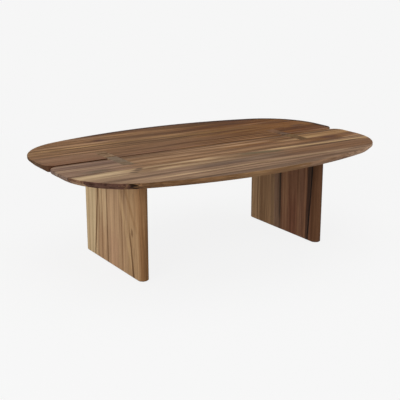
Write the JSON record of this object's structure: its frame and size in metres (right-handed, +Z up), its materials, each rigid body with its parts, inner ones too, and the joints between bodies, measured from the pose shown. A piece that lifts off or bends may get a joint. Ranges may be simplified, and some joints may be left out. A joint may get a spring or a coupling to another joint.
{
  "type": "coffee table",
  "caption": "Low walnut coffee table with a bowed, split top and round-edged slab legs whose through tenons come up flush with its surface.",
  "frame": {"origin": "on the floor, under the middle of the top", "axes": "+X along the table's length, +Y across it towards the far half, +Z up"},
  "size_m": [1.1998, 0.805, 0.37],
  "materials": {
    "top_walnut": "satin oiled walnut, grain along X",
    "leg_walnut": "satin oiled walnut, grain upright",
    "tongue_walnut": "plain dark walnut strip",
    "dowel_beech": "plain beech, fluting left out",
    "glide_nylon": "matte dark brown nylon",
    "nail_steel": "bright zinc-plated steel"
  },
  "bodies": {
    "root": {"near_left_end_board": "top_walnut", "near_centre_board": "top_walnut", "near_right_end_board": "top_walnut", "near_stave_1": "top_walnut", "near_stave_2": "top_walnut", "near_stave_3": "top_walnut", "near_stave_4": "top_walnut", "far_left_end_board": "top_walnut", "far_centre_board": "top_walnut", "far_right_end_board": "top_walnut", "far_stave_1": "top_walnut", "far_stave_2": "top_walnut", "far_stave_3": "top_walnut", "far_stave_4": "top_walnut", "left_leg_stave_1": "leg_walnut", "left_leg_stave_2": "leg_walnut", "left_leg_stave_3": "leg_walnut", "left_leg_stave_4": "leg_walnut", "left_leg_stave_5": "leg_walnut", "right_leg_stave_1": "leg_walnut", "right_leg_stave_2": "leg_walnut", "right_leg_stave_3": "leg_walnut", "right_leg_stave_4": "leg_walnut", "right_leg_stave_5": "leg_walnut", "centre_tongue": "tongue_walnut", "left_leg_dowels": "dowel_beech", "left_leg_glides": "glide_nylon", "left_glide_nails": "nail_steel", "right_leg_dowels": "dowel_beech", "right_leg_glides": "glide_nylon", "right_glide_nails": "nail_steel"}
  },
  "joints": []
}
